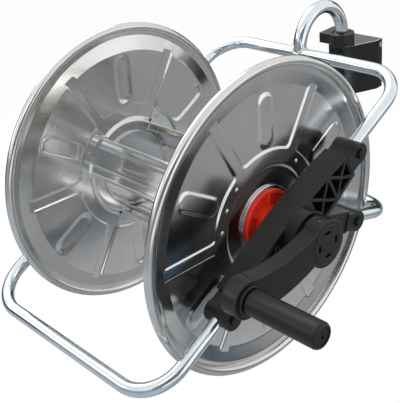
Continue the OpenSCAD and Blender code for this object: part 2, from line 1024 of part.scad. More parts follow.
// Plastic hub in a disc's hole, with a ribbed dish in front
module hub(bore) {
    color("red")
        difference() {
            union() {
                bar_x(plate_in, hub_face, hub_d);
                bar_x(hub_face, hub_neck_x, hub_neck_d);
            }
            along_x(hub_face - hub_dish_depth, hub_face + eps)
                difference() {
                    circle(d = hub_dish_d);
                    circle(d = hub_neck_d);
                    for (i = [0:panel_count - 1])
                        rotate(dimple_angle + i * 360 / panel_count)
                            translate([0, -hub_rib_t / 2])
                                square([hub_d, hub_rib_t]);
                }
            bar_x(plate_in - eps, hub_neck_x + eps, bore);
        }
}

// Metal plate behind a hub and its disc, with a collar on the shaft
module hub_plate(bore) {
    color("gainsboro")
        difference() {
            union() {
                bar_x(plate_in - hub_flange_t, plate_in, hub_flange_d);
                bar_x(hub_back, plate_in - hub_flange_t, hub_back_d);
            }
            bar_x(hub_back - eps, plate_in + eps, bore);
        }
}

module drive_hub() {
    at_drum()
        hub(shaft_d + 2 * push_fit);
}

module inlet_hub() {
    at_drum()
        inlet_side()
            hub(spindle_d + 2 * push_fit);
}

module drive_hub_plate() {
    at_drum()
        hub_plate(shaft_d + 2 * push_fit);
}

module inlet_hub_plate() {
    at_drum()
        inlet_side()
            hub_plate(spindle_d + 2 * push_fit);
}

// Bright ring that clamps a disc to its hub
module hub_ring() {
    color("white")
        along_x(plate_out, plate_out + hub_ring_t)
            tube_ring(hub_ring_d, (hub_ring_d - hub_d) / 2 - push_fit);
}

module drive_hub_ring() {
    at_drum()
        hub_ring();
}

module inlet_hub_ring() {
    at_drum()
        inlet_side()
            hub_ring();
}

// Steel shaft that joins the crank to the drive hub
module crank_shaft() {
    color("silver")
        at_drum()
            difference() {
                bar_x(hub_back, shaft_end, shaft_d);
                translate([arm_x0 + arm_t / 2, 0, -crank_hub_d / 2])
                    cylinder(d = cross_pin_d + 2 * push_fit, h = crank_hub_d);
            }
}

// Thrust washer between the bracket and the crank
module crank_washer() {
    color("dimgray")
        at_drum()
            along_x(boss_x + face_gap, boss_x + face_gap + washer_t)
                tube_ring(bearing_flange_d, (bearing_flange_d - shaft_d) / 2 - push_fit);
}

// Hollow spindle that carries the drum and the water on the inlet side
module inlet_spindle() {
    start = outlet_x + outlet_half - socket_len;
    color("silver")
        at_drum()
            inlet_side()
                difference() {
                    bar_x(start, spindle_end, spindle_d);
                    bar_x(start - eps, spindle_end + eps, water_d);
                    for (i = [0, 1])
                        translate([boss_x + seal_first + i * seal_pitch, 0, 0])
                            along_x(0, groove_w)
                                tube_ring(spindle_d + 2 * eps, seal_d + seal_slack + eps);
                }
}

// Two rubber rings in the spindle's grooves
module seal_rings() {
    color("black")
        at_drum()
            inlet_side()
                for (i = [0, 1])
                    translate([boss_x + seal_first + i * seal_pitch + groove_w / 2, 0, 0])
                        rotate([0, 90, 0])
                            rotate_extrude()
                                translate([spindle_d / 2 + seal_proud - seal_d / 2, 0])
                                    circle(d = seal_d);
}

// Elbow inside the drum, with the barb that the hose is pushed on
module hose_outlet() {
    neck = outlet_body_d / 2 + stalk_len;
    pitch = (outlet_reach - neck) / barb_count;
    barb_r = outlet_d / 2;
    color("dimgray")
        at_drum()
            inlet_side()
                difference() {
                    union() {
                        bar_x(outlet_x - outlet_half, outlet_x + outlet_half, outlet_body_d);
                        translate([stalk_x, 0, 0])
                            turned(outlet_angle - 90) {
                                cylinder(r = barb_r + stalk_wall, h = neck);
                                for (i = [0:barb_count - 1])
                                    translate([0, 0, neck + i * pitch])
                                        cylinder(r1 = barb_r, r2 = barb_r - barb_step, h = pitch);
                            }
                    }
                    bar_x(outlet_x + outlet_half - socket_len, outlet_x + outlet_half + eps,
                          spindle_d + 2 * push_fit);
                    bar_x(outlet_x - outlet_half + outlet_wall, outlet_x + outlet_half, water_d);
                    translate([stalk_x, 0, 0])
                        turned(outlet_angle - 90)
                            cylinder(d = outlet_bore, h = outlet_reach + eps);
                }
}

// Outline of the crank arm, which points to the front at rest and sags between two curves
module arm_outline() {
    circle(d = crank_hub_d);
    translate([-crank_r, 0])
        circle(d = crank_end_d);
    difference() {
        intersection() {
            translate([-crank_r, -arm_w])
                square([crank_r, 2 * arm_w]);
            translate([-belly_at, arm_curve_r - arm_sag - arm_w / 2])
                circle(r = arm_curve_r, $fn = 4 * $fn);
        }
        translate([-waist_at, arm_curve_r - arm_sag + arm_w / 2])
            circle(r = arm_curve_r, $fn = 4 * $fn);
    }
}

// Plastic crank arm with four slots in its hub
module crank_arm() {
    slot_r = 14;
    slot_w = 4;
    slot_len = 9;
    slot_depth = 4;
    color("black")
        at_drum()
            difference() {
                union() {
                    along_x(arm_x0, arm_x1)
                        arm_outline();
                    bar_x(arm_x1 - eps, arm_x1 + crank_face_t, crank_face_d);
                    translate([0, -crank_r, 0])
                        bar_x(arm_x1, arm_x1 + boss_lip_t, boss_lip_d);
                }
                bar_x(arm_x0 - eps, arm_x1 - crank_cover, shaft_d + 2 * push_fit);
                translate([0, -crank_r, 0])
                    bar_x(arm_x0 - eps, arm_x1 + boss_lip_t + eps, pin_d + 2 * push_fit);
                translate([arm_x0 + arm_t / 2, 0, -crank_hub_d])
                    cylinder(d = cross_pin_d + 2 * push_fit, h = 2 * crank_hub_d);
                for (i = [0:3])
                    turned(i * 90)
                        translate([arm_x1 - slot_depth, slot_r - slot_w / 2, -slot_len / 2])
                            cube([slot_depth + 2 * crank_face_t, slot_w, slot_len]);
            }
}

// Pin that locks the crank on its shaft
module crank_pin() {
    color("silver")
        at_drum()
            translate([arm_x0 + arm_t / 2, 0, -crank_hub_d / 2 + 2])
                cylinder(d = cross_pin_d, h = crank_hub_d - 4);
}

// Steel spindle that the grip turns on
module grip_spindle() {
    color("silver")
        at_drum()
            translate([0, -crank_r, 0])
                difference() {
                    union() {
                        bar_x(arm_x0, pin_end, pin_d);
                        bar_x(arm_x0 - pin_head_t, arm_x0, pin_head_d);
                    }
                    along_x(clip_x - push_fit, clip_x + clip_t + push_fit)
                        tube_ring(pin_d + 1, (pin_d + 1 - clip_root_d) / 2);
                }
}

// Clip that keeps the grip on its spindle
module spindle_clip() {
    color("silver")
        at_drum()
            translate([0, -crank_r, 0])
                along_x(clip_x, clip_x + clip_t)
                    difference() {
                        circle(d = clip_d);
                        circle(d = clip_root_d + 2 * push_fit);
                        translate([0, -clip_mouth / 2])
                            square([clip_d, clip_mouth]);
                    }
}

// Turning grip with a hollow outer end
module crank_grip() {
    color("black")
        at_drum()
            translate([0, -crank_r, 0])
                difference() {
                    translate([grip_x0, 0, 0])
                        rotate([0, 90, 0])
                            rotate_extrude()
                                polygon([
                                    [0, 0], [grip_d / 2 - grip_edge, 0], [grip_d / 2, grip_edge],
                                    [grip_d / 2, grip_len - grip_round],
                                    [grip_d / 2 - 0.3 * grip_round, grip_len - 0.3 * grip_round],
                                    [grip_d / 2 - 0.75 * grip_round, grip_len], [0, grip_len]
                                ]);
                    bar_x(grip_x0 - eps, grip_x1, pin_d + 2 * run_fit);
                    bar_x(clip_x - face_gap, grip_x1 + eps, grip_hollow_d);
                }
}

// Cap with a small hole in the grip's end
module grip_cap() {
    end = grip_x1 - cap_recess;
    plug = grip_hollow_d - 2 * push_fit;
    color("black")
        at_drum()
            translate([0, -crank_r, 0])
                along_x(end - cap_plug_t, end)
                    tube_ring(plug, (plug - cap_hole_d) / 2);
}

wall_plate();
swivel_housing();
housing_screws();
top_bushing();
bottom_bushing();
swivel_hook();
hook_collar();
hook_end_cap();
upper_frame_tube();
front_frame_tube();
lower_frame_tube();
crank_side_bracket();
inlet_side_bracket();
clamp_bolts();
clamp_nuts();
crank_bush();
inlet_bush();
inlet_elbow();
elbow_screws();
inlet_plug();
crank_disc();
inlet_disc();
spacer_1();
spacer_2();
spacer_3();
spacer_rivets();
drive_hub();
drive_hub_plate();
drive_hub_ring();
inlet_hub();
inlet_hub_plate();
inlet_hub_ring();
crank_shaft();
crank_washer();
inlet_spindle();
seal_rings();
hose_outlet();
crank_arm();
crank_pin();
grip_spindle();
spindle_clip();
crank_grip();
grip_cap();
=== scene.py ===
import json
from math import asin, cos, hypot, pi, radians, sin, sqrt

import bmesh
import bpy
from mathutils import Matrix, Vector
from mathutils.bvhtree import BVHTree


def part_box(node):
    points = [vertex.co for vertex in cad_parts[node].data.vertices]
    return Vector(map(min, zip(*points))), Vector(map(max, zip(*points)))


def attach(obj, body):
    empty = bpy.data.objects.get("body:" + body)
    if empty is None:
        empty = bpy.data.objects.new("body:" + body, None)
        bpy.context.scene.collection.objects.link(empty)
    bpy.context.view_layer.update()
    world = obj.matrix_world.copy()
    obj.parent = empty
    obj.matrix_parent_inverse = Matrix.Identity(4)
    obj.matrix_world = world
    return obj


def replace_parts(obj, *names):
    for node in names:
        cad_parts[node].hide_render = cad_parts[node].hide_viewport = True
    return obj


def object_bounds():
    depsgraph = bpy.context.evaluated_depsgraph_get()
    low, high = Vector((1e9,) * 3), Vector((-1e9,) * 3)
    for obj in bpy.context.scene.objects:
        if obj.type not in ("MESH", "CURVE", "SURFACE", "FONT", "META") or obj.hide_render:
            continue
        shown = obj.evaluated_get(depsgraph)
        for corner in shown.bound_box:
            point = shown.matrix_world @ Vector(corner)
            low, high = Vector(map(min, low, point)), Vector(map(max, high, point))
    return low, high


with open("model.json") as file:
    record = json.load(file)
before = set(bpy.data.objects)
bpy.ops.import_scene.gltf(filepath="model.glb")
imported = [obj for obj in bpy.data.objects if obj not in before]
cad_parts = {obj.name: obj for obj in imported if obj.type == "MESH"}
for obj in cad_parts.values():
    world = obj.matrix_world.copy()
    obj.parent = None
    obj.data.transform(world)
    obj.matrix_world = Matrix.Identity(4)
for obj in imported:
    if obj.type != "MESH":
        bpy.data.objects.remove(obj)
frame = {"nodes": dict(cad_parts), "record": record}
cad_bounds = [list(corner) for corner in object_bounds()]
NODES = frame["nodes"]
SLOT_OF = {part["node"]: part["material_slot"] for part in frame["record"]["subparts"]}
BODY_OF = {
    node: body
    for body, members in frame["record"]["behaviour"]["bodies"].items()
    for node in members
}

# Lengths are in metres and angles in degrees

# Frame tubes
TUBE_R = 0.008
TUBE_WALL = 0.0015
TUBE_SIDES = 36
BEND_R = 0.049
BEND_STEPS = 16
LEG_STEPS = 6
FRAME_TILT = 24.2
LOWER_TILT = -19.5

# Hook and its weld
HOOK_R = 0.009
HOOK_WALL = 0.002
HOOK_SEAT = 0.001
SHANK_STEPS = 8
ARC_STEPS = 32
WELD_R = 0.0016
WELD_STEPS = 96
WELD_SIDES = 12
WELD_LEAST_RISE = 0.0022
RIPPLE_COUNT = 24
RIPPLE_SHARE = 0.03

# Pressed discs: the dish, web and band are depths behind the plane of the rim's middle
DISC_T = 0.0015
DISH = 0.0085
WEB = 0.0045
BAND = 0.0015
HUB_HOLE_R = 0.03805
STEP_R = 0.066
STEP_IN = 0.002
STEP_OUT = 0.001
BAND_R = 0.174
CONE_SLOPE = 0.257
BEAD_R = 0.0055
BEAD_FROM = 196
BEAD_TO = -148
BEAD_STEPS = 24

# Their panels, spokes and dimples
SECTOR = 60.0
PANEL_R = 0.157
PANEL_INNER_R = 0.086
PANEL_DEPTH = 0.0015
PANEL_CORNER = 0.006
PANEL_SOFT = 0.0011
SPOKE_HALF = 0.007
DIMPLE_HALF = 0.0105
DIMPLE_ANGLE = 26.0
DIMPLE_MARGIN = 0.005
DIMPLE_SOFT = 0.0020
PROFILE_SOFT = 0.0009
SLOW_WAVE = 0.00010
FAST_WAVE = 0.00007

# Folded strips between the discs
SPACER_COUNT = 3
SPACER_TURN = 120
SPACER_REACH = 0.055
SPACER_TOP = 0.059
SPACER_WEB_HALF = 0.0135
SPACER_HALF = 0.0235
FOLD_R = 0.0022
FOLD_SINK = 0.0012
FOLD_SIDES = 12
FOLD_STEPS = 2

# Bare cut edge on top of the housing
CUT_SIDE = 0.0013
CUT_FRONT = 0.0010
CUT_LIFT = 0.00015
CUT_REACH = 0.0005
CUT_WALL_GAP = 0.001

# Rounding: width for each node
EDGE_WIDTHS = {
    "crank_side_bracket": 0.0008,
    "inlet_side_bracket": 0.0008,
    "crank_arm": 0.0012,
    "swivel_housing": 0.0010,
    "top_bushing": 0.0010,
    "bottom_bushing": 0.0006,
    "drive_hub": 0.0007,
    "inlet_hub": 0.0007,
    "drive_hub_plate": 0.0008,
    "inlet_hub_plate": 0.0008,
    "drive_hub_ring": 0.0006,
    "inlet_hub_ring": 0.0006,
    "hook_collar": 0.0005,
    "crank_grip": 0.0006,
    "inlet_elbow": 0.0010,
    "clamp_bolts": 0.0005,
    "clamp_nuts": 0.0003,
    "hook_end_cap": 0.0008,
    "wall_plate": 0.0003,
}
SPACER_EDGE_WIDTH = 0.0004
SPACER_FOLD_WIDTH = 0.0018
SAME_POINT = 1e-6
FLAT_TURN = 0.6
FOLD_TURN = 15
EDGE_TURN = 32
FULL_TURN = 180
FOLD_SEGMENTS = 3
EDGE_SEGMENTS = 2
SHARP_MEETING = 25.0
PULL_ROUNDS = 4

# Edges that turn by more than these are shaded as sharp
SMOOTH_TURN = 38.0
SMOOTH_FOLD_TURN = 14
SMOOTH_DISC_TURN = 50

# Studio
FLOOR_DROP = 0.45
FLOOR_HALF = 15.0
FLOOR_GREY = 0.92
FLOOR_WHITE_SHARE = 0.92
FILL_TINT = (0.97, 0.985, 1.0)
FILL_LEVEL = 0.8
CARD_TINT = (0.97, 1.0, 1.04)
WALL_HEIGHT = 1.4
WALL_MIDDLE = 0.1
UP = Vector((0, 0, 1))

# Lamps: name, place from the drum's middle, size, power
LAMPS = (
    ("top_softbox", (-1.2, 0.3, 1.3), (1.5, 1.5), 18),
    ("front_softbox", (0.9, -1.5, 1.3), (1.0, 1.0), 6),
)

# Cards that face up: name, place from the drum's middle, size, level, tint
FLAT_CARDS = (
    ("floor_card", (0.2, 0.0, -0.62), (6.4, 6.4), 0.38, CARD_TINT),
    ("front_floor", (0.3, -1.5, -0.61), (3.4, 2.4), 0.56, (0.9, 1.0, 1.12)),
    ("dark_flag", (0.84, 0.46, -0.60), (0.34, 0.62), 0.06, (0.5, 1.0, 1.6)),
    ("bounce", (0.40, 0.45, -0.60), (0.42, 0.60), 0.52, CARD_TINT),
    ("strip_light", (1.70, 0.305, -0.60), (0.24, 0.045), 5.0, CARD_TINT),
)

# Cards that face the drum: name, place from the drum's middle, size, level
AIMED_CARDS = (
    ("camera_side", (1.35, -1.17, 0.85), (2.2, 1.5), 0.2),
    ("drum_light", (-1.43, -1.47, 0.79), (1.1, 0.6), 2.2),
)

# Upright cards around the part: name, place in X and Y, facing, width, level
WALL_CARDS = (
    ("right_wall", (3.0, 0.0), (-1, 0), 6.0, 1.3),
    ("rear_wall", (-1.3, 3.0), (0, -1), 3.4, 0.05),
    ("left_wall", (-3.0, 0.0), (1, 0), 6.0, 0.05),
    ("front_wall", (0.0, -3.0), (0, 1), 6.0, 0.4),
)

# Places read from the frame
CRANK_LO, CRANK_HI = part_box("crank_disc")
INLET_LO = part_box("inlet_disc")[0]
HOOK_LO, HOOK_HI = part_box("swivel_hook")
AXIS = Vector((
    (CRANK_HI.x + INLET_LO.x) / 2,
    (CRANK_LO.y + CRANK_HI.y) / 2,
    (CRANK_LO.z + CRANK_HI.z) / 2,
))
DISC_R = (CRANK_HI.z - CRANK_LO.z) / 2
RIM_X = CRANK_HI.x - AXIS.x - BEAD_R
BEAD_MID_R = DISC_R - BEAD_R
HOOK_X = (HOOK_LO.x + HOOK_HI.x) / 2
SWIVEL_Y = HOOK_HI.y - HOOK_R
WELD_Y = HOOK_LO.y + HOOK_R
BAR_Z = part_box("upper_frame_tube")[1].z - TUBE_R


# Camera and light

def link(obj):
    bpy.context.scene.collection.objects.link(obj)


def add_camera():
    offset = Vector((0.64892, -0.55883, 0.46511))
    right = Vector((0.69738, 0.70910, -0.10404))
    up = Vector((-0.28820, 0.41038, 0.86518))
    back = right.cross(up)
    data = bpy.data.cameras.new("photo_camera")
    data.sensor_width = 36
    data.lens = 69.49
    data.clip_start = 0.01
    camera = bpy.data.objects.new("photo_camera", data)
    turn = Matrix((right, up, back)).transposed().to_4x4()
    camera.matrix_world = Matrix.Translation(AXIS + offset) @ turn
    link(camera)
    bpy.context.scene.camera = camera


def bare_tree(owner):
    """Node tree of a material or world, emptied."""
    owner.use_nodes = True
    owner.node_tree.nodes.clear()
    return owner.node_tree


def seen_directly(tree):
    """1 for camera, glossy and transmission rays, which see the plain background."""
    path = tree.nodes.new("ShaderNodeLightPath")
    seen = path.outputs["Is Camera Ray"]
    for kind in ("Is Glossy Ray", "Is Transmission Ray"):
        larger = tree.nodes.new("ShaderNodeMath")
        larger.operation = "MAXIMUM"
        tree.links.new(seen, larger.inputs[0])
        tree.links.new(path.outputs[kind], larger.inputs[1])
        seen = larger.outputs[0]
    return seen


def mix_shaders(tree, share, first, second, out):
    mix = tree.nodes.new("ShaderNodeMixShader")
    tree.links.new(share, mix.inputs[0])
    tree.links.new(first.outputs[0], mix.inputs[1])
    tree.links.new(second.outputs[0], mix.inputs[2])
    tree.links.new(mix.outputs[0], out.inputs["Surface"])


def add_world():
    world = bpy.data.worlds.new("studio")
    bpy.context.scene.world = world
    tree = bare_tree(world)
    out = tree.nodes.new("ShaderNodeOutputWorld")
    fill = tree.nodes.new("ShaderNodeBackground")
    fill.inputs["Color"].default_value = (*FILL_TINT, 1)
    fill.inputs["Strength"].default_value = FILL_LEVEL
    white = tree.nodes.new("ShaderNodeBackground")
    white.inputs["Color"].default_value = (1, 1, 1, 1)
    white.inputs["Strength"].default_value = 1.0
    mix_shaders(tree, seen_directly(tree), fill, white, out)


def flat_sheet(name, size, level=0.0):
    """Rectangle of a given width and depth around the Z axis."""
    wide, deep = size[0] / 2, size[1] / 2
    corners = [(-wide, -deep), (wide, -deep), (wide, deep), (-wide, deep)]
    mesh = bpy.data.meshes.new(name)
    mesh.from_pydata([(x, y, level) for x, y in corners], [], [(0, 1, 2, 3)])
    sheet = bpy.data.objects.new(name, mesh)
    link(sheet)
    return sheet


def add_floor():
    level = cad_bounds[0][2] - FLOOR_DROP
    floor = flat_sheet("floor", (2 * FLOOR_HALF, 2 * FLOOR_HALF), level)
    material = bpy.data.materials.new("floor")
    tree = bare_tree(material)
    out = tree.nodes.new("ShaderNodeOutputMaterial")
    matt = tree.nodes.new("ShaderNodeBsdfDiffuse")
    matt.inputs["Color"].default_value = (FLOOR_GREY, FLOOR_GREY, FLOOR_GREY, 1)
    white = tree.nodes.new("ShaderNodeEmission")
    white.inputs["Strength"].default_value = 1.0
    share = tree.nodes.new("ShaderNodeMath")
    share.operation = "MULTIPLY"
    share.inputs[1].default_value = FLOOR_WHITE_SHARE
    tree.links.new(seen_directly(tree), share.inputs[0])
    mix_shaders(tree, share.outputs[0], matt, white, out)
    floor.data.materials.append(material)


def aim(obj, place, target):
    """Puts an object at a place and turns its -Z axis towards a target."""
    obj.location = place
    obj.rotation_euler = (target - place).to_track_quat("-Z", "Y").to_euler()


def add_lamp(name, place, size, power):
    data = bpy.data.lights.new(name, "AREA")
    data.shape = "RECTANGLE"
    data.size, data.size_y = size
    data.energy = power
    lamp = bpy.data.objects.new(name, data)
    aim(lamp, place, AXIS)
    link(lamp)


def add_card(name, place, target, size, level, tint=CARD_TINT):
    """Studio card: a plain glowing surface that only shows in reflections."""
    card = flat_sheet(name, size)
    aim(card, place, target)
    material = bpy.data.materials.new(name)
    tree = bare_tree(material)
    out = tree.nodes.new("ShaderNodeOutputMaterial")
    glow = tree.nodes.new("ShaderNodeEmission")
    glow.inputs["Color"].default_value = (*(level * part for part in tint), 1)
    glow.inputs["Strength"].default_value = 1.0
    tree.links.new(glow.outputs[0], out.inputs["Surface"])
    card.data.materials.append(material)
    card.visible_camera = False
    card.visible_diffuse = False
    card.visible_shadow = False
    card.visible_transmission = False


def add_studio():
    for name, offset, size, power in LAMPS:
        add_lamp(name, AXIS + Vector(offset), size, power)
    for name, offset, size, level, tint in FLAT_CARDS:
        place = AXIS + Vector(offset)
        add_card(name, place, place + UP, size, level, tint)
    for name, offset, size, level in AIMED_CARDS:
        add_card(name, AXIS + Vector(offset), AXIS, size, level)
    for name, spot, facing, width, level in WALL_CARDS:
        place = AXIS + Vector((*spot, WALL_MIDDLE))
        add_card(name, place, place + Vector((*facing, 0)), (width, WALL_HEIGHT), level)


# Materials

# Part of a noise's range that the colours and the gloss spread over
NOISE_LOW = 0.3
NOISE_HIGH = 0.7

# Drawn lines: their stretch, and the size of the normal's X where they start to fade
LINE_STRETCH = (0.01, 1, 1)
LINE_DETAIL = 2
LINE_FADE = 0.3

# tone, sheen and grain are noises: scale, detail and in one case a stretch.
# gloss is the lowest and highest roughness, relief the strength and depth of the bump.
FINISHES = {
    "zinc_sheet": dict(
        rough=0.18, metal=1.0,
        tone=(14, 3), dark=(0.64, 0.63, 0.61), light=(0.71, 0.705, 0.69),
        sheen=(30, 2), gloss=(0.14, 0.21),
    ),
    "zinc_strip": dict(
        rough=0.16, metal=1.0,
        tone=(22, 3), dark=(0.74, 0.75, 0.75), light=(0.80, 0.81, 0.81),
        sheen=(30, 3), gloss=(0.14, 0.19),
        line_scale=80, relief=(1.0, 0.0018),
    ),
    "tube_chrome": dict(
        rough=0.14, metal=1.0,
        tone=(30, 3), dark=(0.66, 0.73, 0.77), light=(0.76, 0.82, 0.85),
        sheen=(60, 3), gloss=(0.11, 0.16),
    ),
    "bright_steel": dict(
        rough=0.22, metal=1.0,
        tone=(90, 3), dark=(0.64, 0.65, 0.67), light=(0.76, 0.77, 0.78),
        sheen=(240, 4), gloss=(0.15, 0.28),
        grain=(1800, 2), relief=(0.05, 0.0001),
    ),
    "black_plastic": dict(
        rough=0.35, shine=0.45,
        tone=(60, 5), dark=(0.005, 0.005, 0.005), light=(0.009, 0.009, 0.009),
        sheen=(420, 4), gloss=(0.30, 0.40),
        grain=(1500, 3), relief=(0.15, 0.0003),
    ),
    "grip_plastic": dict(
        rough=0.36, shine=0.35,
        tone=(45, 4, (0.25, 1, 1)), dark=(0.006, 0.006, 0.006), light=(0.010, 0.010, 0.010),
        sheen=(300, 4), gloss=(0.32, 0.42),
        grain=(1100, 3), relief=(0.12, 0.0002),
    ),
    "bracket_paint": dict(
        rough=0.12,
        tone=(40, 3), dark=(0.004, 0.004, 0.005), light=(0.007, 0.007, 0.008),
        sheen=(120, 3), gloss=(0.10, 0.16),
        grain=(330, 2), relief=(0.10, 0.0003),
    ),
    "hub_red": dict(
        rough=0.36,
        tone=(70, 4), dark=(0.74, 0.026, 0.009), light=(0.84, 0.040, 0.013),
        sheen=(300, 3), gloss=(0.30, 0.42),
        grain=(1200, 2), relief=(0.12, 0.0002),
    ),
    "black_steel": dict(
        rough=0.35, metal=0.6,
        tone=(120, 3), dark=(0.018, 0.018, 0.019), light=(0.030, 0.030, 0.031),
        sheen=(400, 3), gloss=(0.28, 0.42),
        grain=(1600, 2), relief=(0.08, 0.0001),
    ),
    "fitting_brass": dict(
        rough=0.24, metal=1.0,
        tone=(80, 4), dark=(0.58, 0.42, 0.19), light=(0.70, 0.53, 0.27),
        sheen=(260, 4), gloss=(0.18, 0.30),
        grain=(1500, 2), relief=(0.06, 0.0001),
    ),
    "bearing_plastic": dict(
        rough=0.45,
        tone=(60, 4), dark=(0.13, 0.13, 0.14), light=(0.18, 0.18, 0.19),
        sheen=(300, 3), gloss=(0.40, 0.52),
        grain=(1300, 2), relief=(0.15, 0.0002),
    ),
    "seal_rubber": dict(
        rough=0.7,
        tone=(200, 3), dark=(0.012, 0.012, 0.012), light=(0.022, 0.022, 0.022),
        sheen=(600, 3), gloss=(0.62, 0.78),
        grain=(2200, 2), relief=(0.2, 0.0002),
    ),
}


class Paint:
    """A principled material with helpers for procedural detail."""

    def __init__(self, name, rough, metal, shine):
        self.material = bpy.data.materials.new(name)
        self.material.use_nodes = True
        self.tree = self.material.node_tree
        self.shader = self.tree.nodes["Principled BSDF"]
        self.shader.inputs["Metallic"].default_value = metal
        self.shader.inputs["Roughness"].default_value = rough
        self.shader.inputs["Specular IOR Level"].default_value = shine
        self.place = self.tree.nodes.new("ShaderNodeTexCoord").outputs["Object"]

    def noise(self, scale, detail, stretch=(1, 1, 1)):
        mapping = self.tree.nodes.new("ShaderNodeMapping")
        mapping.inputs["Scale"].default_value = stretch
        self.tree.links.new(self.place, mapping.inputs["Vector"])
        noise = self.tree.nodes.new("ShaderNodeTexNoise")
        noise.inputs["Scale"].default_value = scale
        noise.inputs["Detail"].default_value = detail
        self.tree.links.new(mapping.outputs[0], noise.inputs["Vector"])
        return noise.outputs["Fac"]

    def drawn_lines(self, scale):
        """Lines along X, on the faces that run along X only."""
        split = self.tree.nodes.new("ShaderNodeSeparateXYZ")
        self.tree.links.new(self.place.node.outputs["Normal"], split.inputs[0])
        size = self.tree.nodes.new("ShaderNodeMath")
        size.operation = "ABSOLUTE"
        self.tree.links.new(split.outputs["X"], size.inputs[0])
        share = self.tree.nodes.new("ShaderNodeMapRange")
        share.inputs["From Min"].default_value = LINE_FADE
        share.inputs["To Min"].default_value = 1.0
        share.inputs["To Max"].default_value = 0.0
        self.tree.links.new(size.outputs[0], share.inputs["Value"])
        lines = self.tree.nodes.new("ShaderNodeMath")
        lines.operation = "MULTIPLY"
        self.tree.links.new(self.noise(scale, LINE_DETAIL, LINE_STRETCH), lines.inputs[0])
        self.tree.links.new(share.outputs["Result"], lines.inputs[1])
        return lines.outputs[0]

    def colours(self, value, dark, light):
        ramp = self.tree.nodes.new("ShaderNodeValToRGB")
        ramp.color_ramp.elements[0].position = NOISE_LOW
        ramp.color_ramp.elements[0].color = (*dark, 1)
        ramp.color_ramp.elements[1].position = NOISE_HIGH
        ramp.color_ramp.elements[1].color = (*light, 1)
        self.tree.links.new(value, ramp.inputs[0])
        self.tree.links.new(ramp.outputs[0], self.shader.inputs["Base Color"])

    def gloss(self, value, low, high):
        span = self.tree.nodes.new("ShaderNodeMapRange")
        span.inputs["From Min"].default_value = NOISE_LOW
        span.inputs["From Max"].default_value = NOISE_HIGH
        span.inputs["To Min"].default_value = low
        span.inputs["To Max"].default_value = high
        self.tree.links.new(value, span.inputs["Value"])
        self.tree.links.new(span.outputs[0], self.shader.inputs["Roughness"])

    def bump(self, value, strength, depth):
        bump = self.tree.nodes.new("ShaderNodeBump")
        bump.inputs["Strength"].default_value = strength
        bump.inputs["Distance"].default_value = depth
        self.tree.links.new(value, bump.inputs["Height"])
        self.tree.links.new(bump.outputs[0], self.shader.inputs["Normal"])


def make_material(
    name, rough, tone, dark, light, sheen, gloss,
    metal=0.0, shine=0.5, grain=None, line_scale=None, relief=None,
):
    paint = Paint(name, rough, metal, shine)
    paint.colours(paint.noise(*tone), dark, light)
    paint.gloss(paint.noise(*sheen), *gloss)
    if line_scale:
        paint.bump(paint.drawn_lines(line_scale), *relief)
    elif grain:
        paint.bump(paint.noise(*grain), *relief)
    return paint.material


MATERIALS = {name: make_material(name, **finish) for name, finish in FINISHES.items()}


# Pieces

def take_mesh(form, name):
    """Turns a bmesh into a mesh and frees it."""
    mesh = bpy.data.meshes.new(name)
    form.to_mesh(mesh)
    form.free()
    return mesh


def closed_mesh(form, name):
    """The same, with all faces turned outwards first."""
    bmesh.ops.recalc_face_normals(form, faces=form.faces)
    return take_mesh(form, name)


def shade(mesh, angle=SMOOTH_TURN):
    mesh.polygons.foreach_set("use_smooth", [True] * len(mesh.polygons))
    mesh.set_sharp_from_angle(angle=radians(angle))


def place_piece(name, mesh, node, slot=None):
    """Adds a piece that moves with a node's body, in the node's slot or a given one."""
    piece = bpy.data.objects.new(name, mesh)
    link(piece)
    slot = slot or SLOT_OF[node]
    mesh.materials.clear()
    mesh.materials.append(MATERIALS[slot])
    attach(piece, BODY_OF[node])
    return piece


# Nodes with rounded edges

def meets_sharply(edge, chosen):
    """True where another chosen edge leaves an end of this one in almost the same direction."""
    for vert in edge.verts:
        run = edge.other_vert(vert).co - vert.co
        for other in vert.link_edges:
            if other != edge and other in chosen:
                if run.angle(other.other_vert(vert).co - vert.co, 0.0) < radians(SHARP_MEETING):
                    return True
    return False


def round_edges(form, low, high, width, segments):
    """Bevels the convex edges that turn by an angle between two limits."""
    chosen = {
        e for e in form.edges
        if len(e.link_faces) == 2 and e.is_convex
        and radians(low) < e.calc_face_angle() <= radians(high)
    }
    edges = [e for e in form.edges if e in chosen and not meets_sharply(e, chosen)]
    bmesh.ops.bevel(
        form, geom=edges, offset=width, offset_type="OFFSET", segments=segments,
        profile=0.5, affect="EDGES", clamp_overlap=False,
    )


def hold_to_surface(form, surface, limit):
    """Pulls each point that a bevel threw off the surface back to its nearest neighbour on it."""
    strays = [v for v in form.verts if surface.find_nearest(v.co)[3] > limit]
    for _ in range(PULL_ROUNDS):
        left = set(strays)
        moves = []
        for vert in strays:
            around = [e.other_vert(vert) for e in vert.link_edges]
            near = [v for v in around if v not in left]
            if near:
                spot = min(near, key=lambda v: (v.co - vert.co).length).co.copy()
                moves.append((vert, spot))
        for vert, spot in moves:
            vert.co = spot
            left.discard(vert)
        strays = [v for v in strays if v in left]


